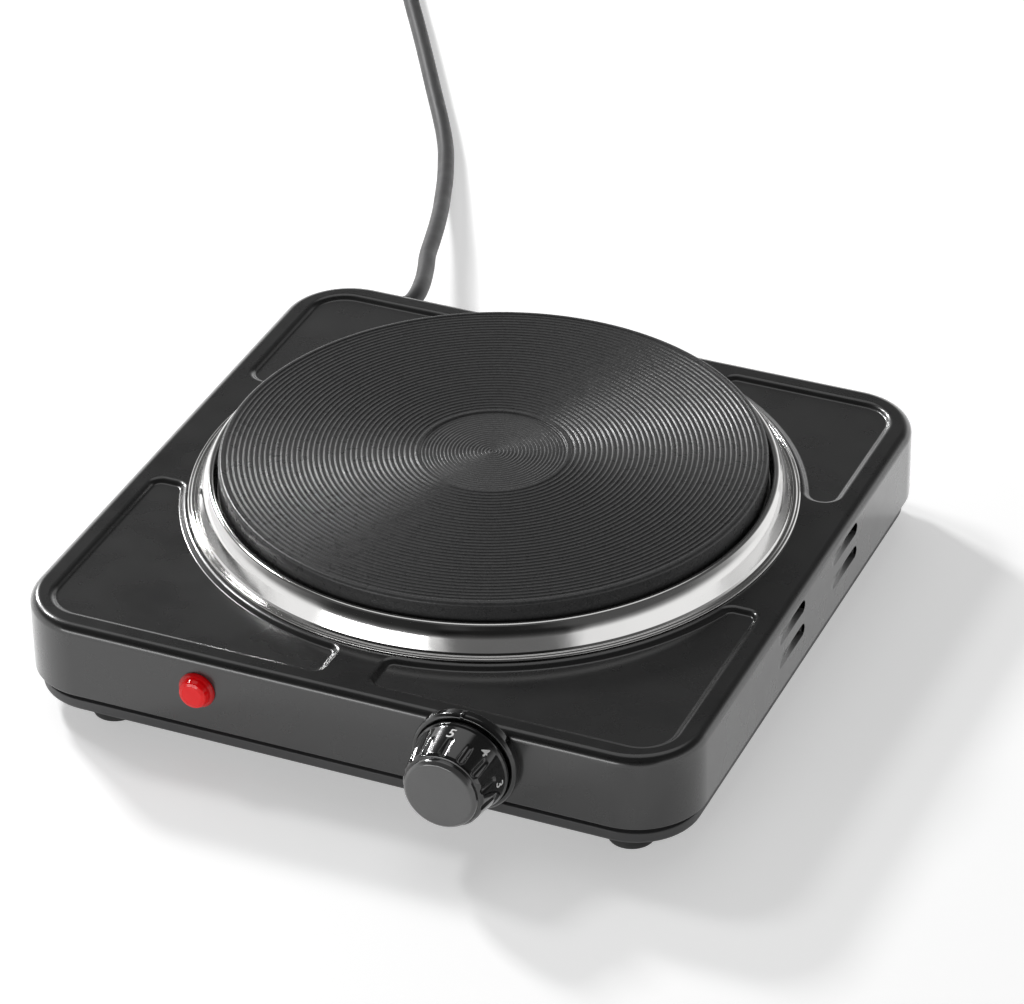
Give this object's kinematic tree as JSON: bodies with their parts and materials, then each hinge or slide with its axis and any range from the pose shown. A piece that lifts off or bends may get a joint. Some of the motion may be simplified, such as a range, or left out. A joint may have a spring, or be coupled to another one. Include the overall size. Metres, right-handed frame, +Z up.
{
  "type": "single electric hot plate",
  "caption": "Portable electric cooking hot plate: round grooved cast-iron plate in a stainless ring on a square black steel housing, with control knob, pilot lamp and mains lead.",
  "frame": {"origin": "on the table under the middle of the object without its mains lead, which is the middle of the housing", "axes": "+X to the right seen from the knob, +Y to the back where the lead leaves, +Z up through the cooking plate"},
  "size_m": [0.3685, 0.7169, 0.0558],
  "materials": {
    "black_steel": "semi-gloss black paint",
    "base_steel": "satin black paint",
    "zinc_steel": "zinc plated",
    "rubber": "matt",
    "label": "blank satin foil",
    "stainless": "polished",
    "cast_iron": "turned grooves, matt",
    "resistance_wire": "oxidised",
    "insulation": "pressed powder",
    "aluminium": "mill finish",
    "ceramic": "unglazed steatite",
    "brass": "natural",
    "silver": "contact silver",
    "cutoff_case": "phenolic",
    "black_plastic": "high gloss",
    "red_lens": "clear red plastic",
    "neon": "clear",
    "soft_black": "smooth matt PVC",
    "white_plastic": "satin",
    "pins": "nickel plated",
    "wire_brown": "satin",
    "wire_blue": "satin",
    "wire_green": "satin",
    "wire_white": "glass-fibre sleeve"
  },
  "bodies": {
    "housing": {"top_cover": "black_steel", "shell_brackets": "zinc_steel", "base_tray": "base_steel", "base_screws": "zinc_steel", "foot_front_left": "rubber", "foot_front_right": "rubber", "foot_rear_left": "rubber", "foot_rear_right": "rubber", "rating_label": "label", "trim_ring": "stainless", "cooking_plate": "cast_iron", "heating_coils": "resistance_wire", "coil_insulation": "insulation", "plate_cover": "zinc_steel", "centre_stud": "zinc_steel", "clamping_bridge": "zinc_steel", "stud_washer": "zinc_steel", "stud_nut": "zinc_steel", "heat_shield": "aluminium", "shield_nut": "zinc_steel", "plate_terminal": "ceramic", "plate_tabs": "brass", "thermal_cutoff": "cutoff_case", "thermostat_bracket": "zinc_steel", "thermostat_bushing": "brass", "thermostat_screws": "zinc_steel", "ceramic_spacers": "ceramic", "stack_rivet": "zinc_steel", "bimetal_strip": "brass", "contact_leaf_root": "brass", "fixed_leaf": "brass", "fixed_contact": "silver", "knob_bezel": "black_plastic", "lamp_lens": "red_lens", "lamp_bulb": "neon", "lamp_retainer": "zinc_steel", "cord_bush": "soft_black", "cord_entry": "soft_black", "clamp_base": "white_plastic", "cord_clamp": "white_plastic", "clamp_screws": "zinc_steel", "mains_terminal": "ceramic", "terminal_screws": "zinc_steel", "earth_screw": "brass", "live_wire": "wire_brown", "neutral_wire": "wire_blue", "earth_wire": "wire_green", "switched_wire": "wire_white", "lamp_wires": "wire_white", "power_cord": "soft_black", "cord_coil": "soft_black", "cord_tail": "soft_black", "plug_body": "soft_black", "plug_pins": "pins"},
    "control": {"control_shaft": "zinc_steel", "adjuster_pin": "ceramic", "knob": "black_plastic", "knob_clip": "zinc_steel"},
    "leaf": {"contact_leaf": "brass", "moving_contact": "silver"}
  },
  "joints": [
    {"name": "knob_turn", "type": "hinge", "parent": "housing", "child": "control", "pos_m": [0.0465, -0.118, 0.0275], "axis": [0, 1, 0], "range_deg": [-229, 5]},
    {"name": "leaf_bend", "type": "hinge", "parent": "housing", "child": "leaf", "pos_m": [0.0367, -0.1008, 0.0275], "axis": [0, 0, 1], "range_deg": [-0.2, 2.2]}
  ],
  "couplings": [
    {"joint": "leaf_bend", "follows": "knob_turn", "ratio": -0.009}
  ]
}
